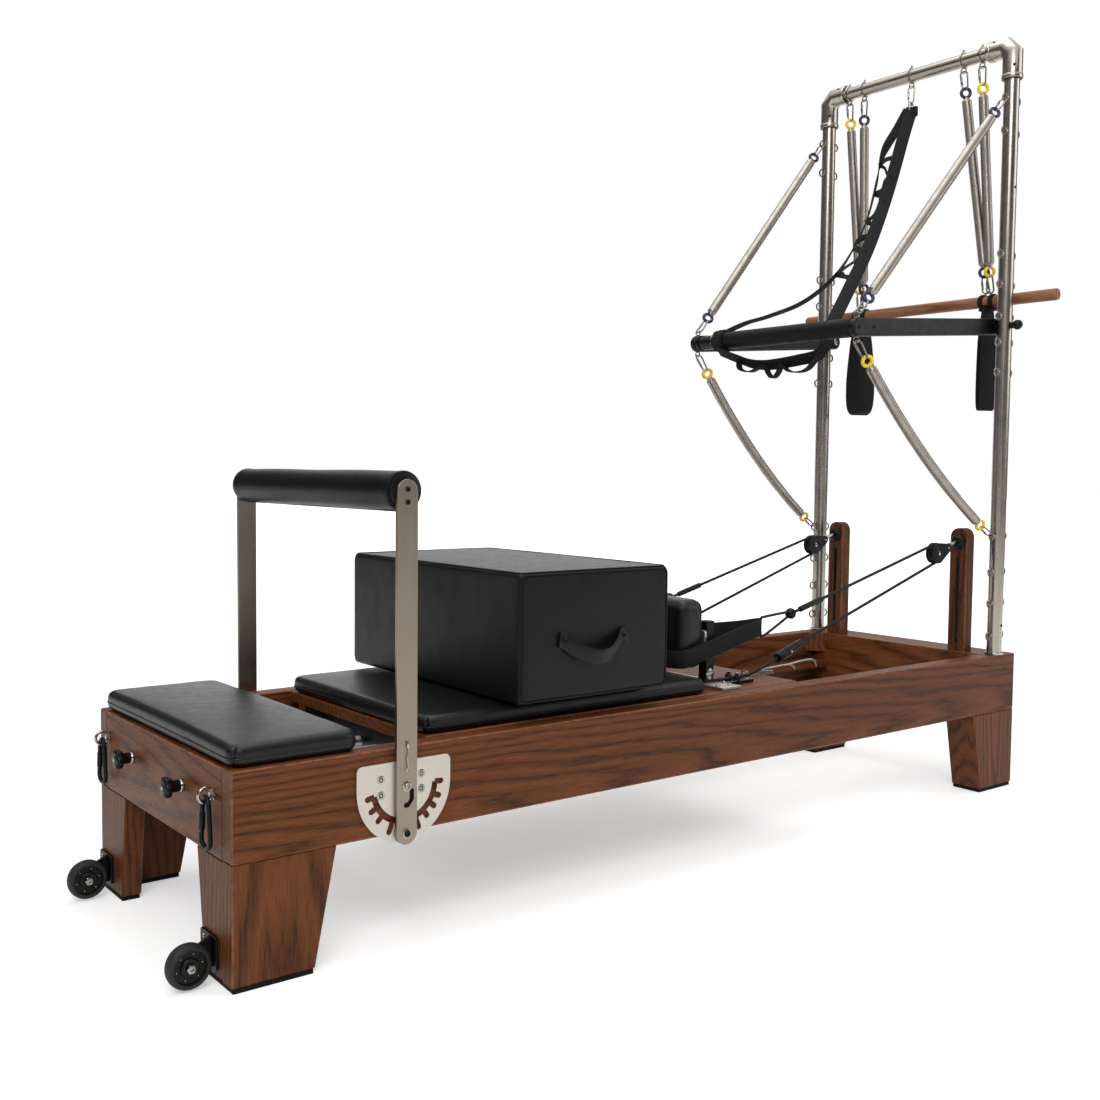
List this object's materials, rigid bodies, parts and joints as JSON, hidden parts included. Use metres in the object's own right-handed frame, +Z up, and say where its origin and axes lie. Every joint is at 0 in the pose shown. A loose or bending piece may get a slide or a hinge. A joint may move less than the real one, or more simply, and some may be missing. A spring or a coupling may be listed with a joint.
{
  "type": "pilates reformer with half tower",
  "caption": "Wooden pilates reformer with sliding sprung carriage, swinging footbar, sitting box, rope pulleys and a steel half tower with springs and bars",
  "frame": {"origin": "centre of the footprint on the floor", "axes": "+X along the bench from the foot end to the head end with the tower, +Y to the side away from the picture's camera, +Z up"},
  "size_m": [2.4941, 0.88, 2.12],
  "materials": {
    "walnut": "satin stained, grain along each board",
    "beech_red": "satin oiled",
    "upholstery": "satin coated fabric with seams",
    "leather_strap": "satin",
    "satin_steel": "satin brushed",
    "satin_aluminium": "satin brushed",
    "spring_steel": "bright wire",
    "black_plastic": "moulded",
    "black_coated_steel": "powder coat",
    "rope": "braided",
    "webbing": "woven"
  },
  "bodies": {
    "bench": {"side_rail_near": "walnut", "side_rail_far": "walnut", "leg_foot_near": "walnut", "leg_foot_far": "walnut", "leg_head_near": "walnut", "leg_head_far": "walnut", "quadrant_plate_near": "satin_steel", "quadrant_plate_far": "satin_steel", "wheel_bracket_near": "satin_steel", "wheel_bracket_far": "satin_steel", "tower_post_near": "satin_steel", "tower_post_far": "satin_steel", "pulley_riser_near": "walnut", "pulley_riser_far": "walnut", "pulley_block_near": "black_plastic", "pulley_block_far": "black_plastic", "arm_spring_upper_near": "spring_steel", "arm_spring_upper_far": "spring_steel", "arm_spring_lower_near": "spring_steel", "arm_spring_lower_far": "spring_steel", "foot_board": "walnut", "head_board": "walnut", "head_deck": "walnut", "platform_board": "walnut", "platform_pad": "upholstery", "spring_bar": "walnut", "tower_top_tube": "satin_steel", "loop_strap": "webbing"},
    "carriage": {"carriage_board": "walnut", "carriage_pad": "upholstery", "carriage_head_bar": "satin_steel", "carriage_springs": "spring_steel", "shoulder_rest_near": "upholstery", "shoulder_rest_far": "upholstery", "rope_near": "rope", "rope_far": "rope"},
    "wheelset_front": {"carriage_wheelset_front": "black_plastic"},
    "wheelset_rear": {"carriage_wheelset_rear": "black_plastic"},
    "box": {"sitting_box": "upholstery", "box_handle_near": "leather_strap", "box_handle_far": "leather_strap"},
    "footbar": {"footbar_tube": "satin_aluminium", "footbar_pad": "upholstery", "footbar_arm_near": "satin_aluminium", "footbar_arm_far": "satin_aluminium"},
    "push_bar": {"push_through_bar": "satin_aluminium"},
    "swing_springs": {"roll_down_springs_near": "spring_steel", "roll_down_springs_far": "spring_steel"},
    "roll_down_bar": {"roll_down_dowel": "beech_red"},
    "foot_loop_near": {"foot_loop_near": "webbing"},
    "foot_loop_far": {"foot_loop_far": "webbing"},
    "sheave_near": {"pulley_sheave_near": "black_plastic"},
    "sheave_far": {"pulley_sheave_far": "black_plastic"},
    "wheel_near": {"transport_wheel_near": "black_plastic"},
    "wheel_far": {"transport_wheel_far": "black_plastic"},
    "knob_near": {"foot_knob_near": "black_plastic"},
    "knob_far": {"foot_knob_far": "black_plastic"},
    "hook_near": {"snap_hook_near": "black_coated_steel"},
    "hook_far": {"snap_hook_far": "black_coated_steel"}
  },
  "joints": [
    {"name": "carriage_slide", "type": "slide", "parent": "bench", "child": "carriage", "axis": [1, 0, 0], "range_m": [0, 0.73], "stiffness_N_per_m": 110, "springref_m": -0.12, "deforming": ["carriage_springs", "rope_near", "rope_far"]},
    {"name": "wheelset_front_roll", "type": "hinge", "parent": "carriage", "child": "wheelset_front", "pos_m": [-0.622, 0, 0.3213], "axis": [0, 1, 0], "continuous": true},
    {"name": "wheelset_rear_roll", "type": "hinge", "parent": "carriage", "child": "wheelset_rear", "pos_m": [0.218, 0, 0.3213], "axis": [0, 1, 0], "continuous": true},
    {"name": "box_lift", "type": "slide", "parent": "carriage", "child": "box", "axis": [0, 0, 1], "range_m": [0, 0.3]},
    {"name": "footbar_hinge", "type": "hinge", "parent": "bench", "child": "footbar", "pos_m": [-0.811, 0, 0.314], "axis": [0, 1, 0], "range_deg": [-90, 35]},
    {"name": "push_bar_hinge", "type": "hinge", "parent": "bench", "child": "push_bar", "pos_m": [1.168, 0, 1.318], "axis": [0, 1, 0], "range_deg": [-30, 20], "stiffness_Nm_per_rad": 45, "springref_deg": 32.09, "deforming": ["arm_spring_upper_near", "arm_spring_upper_far", "arm_spring_lower_near", "arm_spring_lower_far", "loop_strap"]},
    {"name": "roll_down_swing", "type": "hinge", "parent": "bench", "child": "swing_springs", "pos_m": [1.168, 0, 2.0605], "axis": [0, 1, 0], "range_deg": [-30, 0]},
    {"name": "roll_down_pull", "type": "slide", "parent": "swing_springs", "child": "roll_down_bar", "axis": [0.4067, 0, -0.9136], "range_m": [0, 0.35], "stiffness_N_per_m": 300, "springref_m": -0.04, "deforming": ["roll_down_springs_near", "roll_down_springs_far"]},
    {"name": "foot_loop_near_swing", "type": "hinge", "parent": "roll_down_bar", "child": "foot_loop_near", "pos_m": [1.231, -0.226, 1.4], "axis": [0, 1, 0], "range_deg": [-60, 60]},
    {"name": "foot_loop_far_swing", "type": "hinge", "parent": "roll_down_bar", "child": "foot_loop_far", "pos_m": [1.231, 0.222, 1.4], "axis": [0, 1, 0], "range_deg": [-60, 60]},
    {"name": "sheave_near_spin", "type": "hinge", "parent": "bench", "child": "sheave_near", "pos_m": [1.015, -0.221, 0.675], "axis": [0, 1, 0], "continuous": true},
    {"name": "sheave_far_spin", "type": "hinge", "parent": "bench", "child": "sheave_far", "pos_m": [1.015, 0.221, 0.675], "axis": [0, 1, 0], "continuous": true},
    {"name": "wheel_near_spin", "type": "hinge", "parent": "bench", "child": "wheel_near", "pos_m": [-1.201, -0.275, 0.043], "axis": [0, 1, 0], "continuous": true},
    {"name": "wheel_far_spin", "type": "hinge", "parent": "bench", "child": "wheel_far", "pos_m": [-1.201, 0.275, 0.043], "axis": [0, 1, 0], "continuous": true},
    {"name": "knob_near_turn", "type": "hinge", "parent": "bench", "child": "knob_near", "pos_m": [-1.179, -0.12, 0.318], "axis": [1, 0, 0], "continuous": true},
    {"name": "knob_far_turn", "type": "hinge", "parent": "bench", "child": "knob_far", "pos_m": [-1.179, 0.142, 0.318], "axis": [1, 0, 0], "continuous": true},
    {"name": "hook_near_swing", "type": "hinge", "parent": "bench", "child": "hook_near", "pos_m": [-1.1635, -0.264, 0.3217], "axis": [1, 0, 0], "range_deg": [-75, 75]},
    {"name": "hook_far_swing", "type": "hinge", "parent": "bench", "child": "hook_far", "pos_m": [-1.1635, 0.285, 0.3217], "axis": [1, 0, 0], "range_deg": [-75, 75]}
  ],
  "couplings": [
    {"joint": "wheelset_front_roll", "follows": "carriage_slide", "rad_per_m": 47.619},
    {"joint": "wheelset_rear_roll", "follows": "carriage_slide", "rad_per_m": 47.619}
  ]
}
